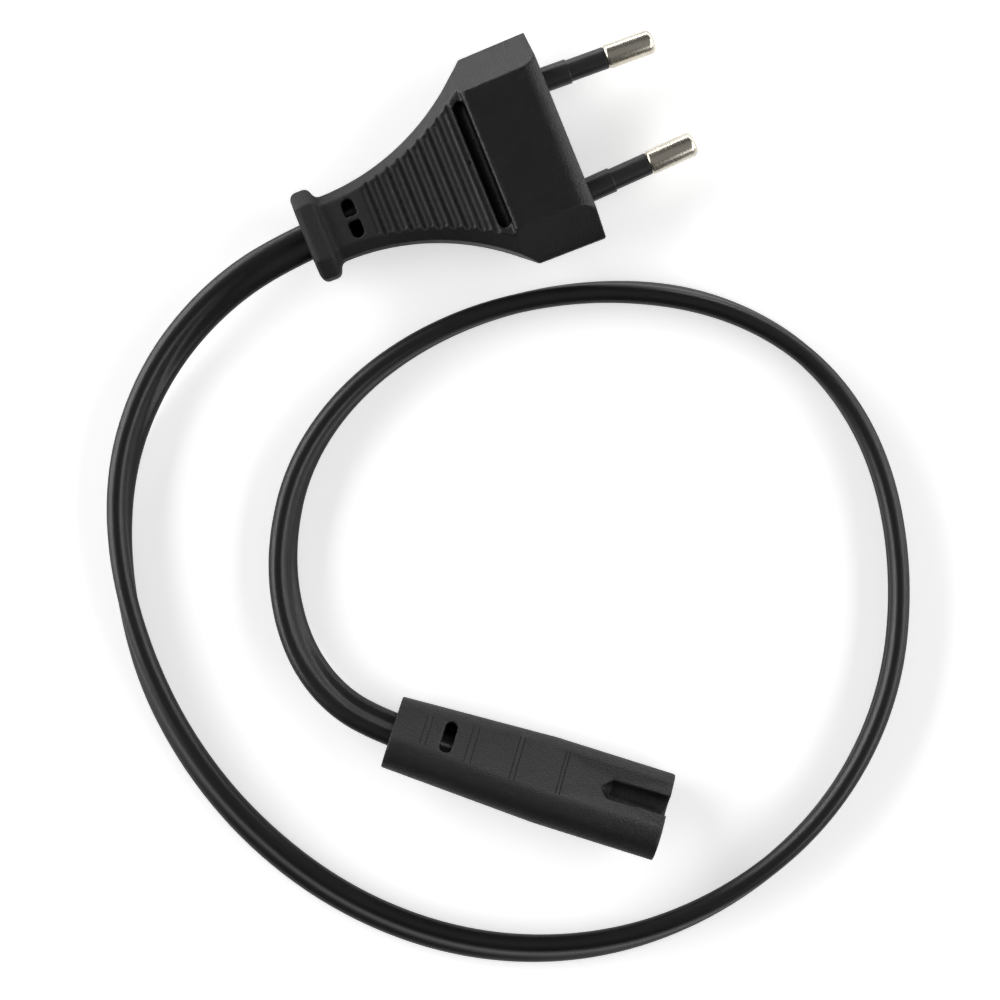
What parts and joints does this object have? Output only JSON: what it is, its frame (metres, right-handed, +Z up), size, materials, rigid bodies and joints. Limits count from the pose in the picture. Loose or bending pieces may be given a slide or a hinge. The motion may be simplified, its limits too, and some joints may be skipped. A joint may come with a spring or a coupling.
{
  "type": "figure eight power lead",
  "caption": "Short mains lead: a flat plug with round sleeved pins and a ribbed grip, joined by a flat cord in a loose loop to a moulded figure-eight connector.",
  "frame": {"origin": "on the table, under the middle of the figure-eight connector", "axes": "+X along the connector and out of its mating end, +Z up from the table, +Y across the loop of the cord towards the plug"},
  "size_m": [0.1359, 0.1526, 0.0137],
  "materials": {
    "sheath": "soft matte",
    "moulding": "fine matte grain",
    "sleeve": "smooth",
    "insert": "satin",
    "core_blue": "smooth",
    "core_brown": "smooth",
    "nickel": "bright nickel plating",
    "contact": "bright"
  },
  "bodies": {
    "root": {"cord": "sheath", "plug_body": "moulding", "plug_bridge": "insert", "pin_left": "nickel", "pin_right": "nickel", "pin_sleeve_left": "sleeve", "pin_sleeve_right": "sleeve", "plug_wire_left": "core_blue", "plug_wire_right": "core_brown", "connector_body": "moulding", "contact_carrier": "insert", "contact_left": "contact", "contact_right": "contact", "connector_wire_left": "core_blue", "connector_wire_right": "core_brown"}
  },
  "joints": []
}
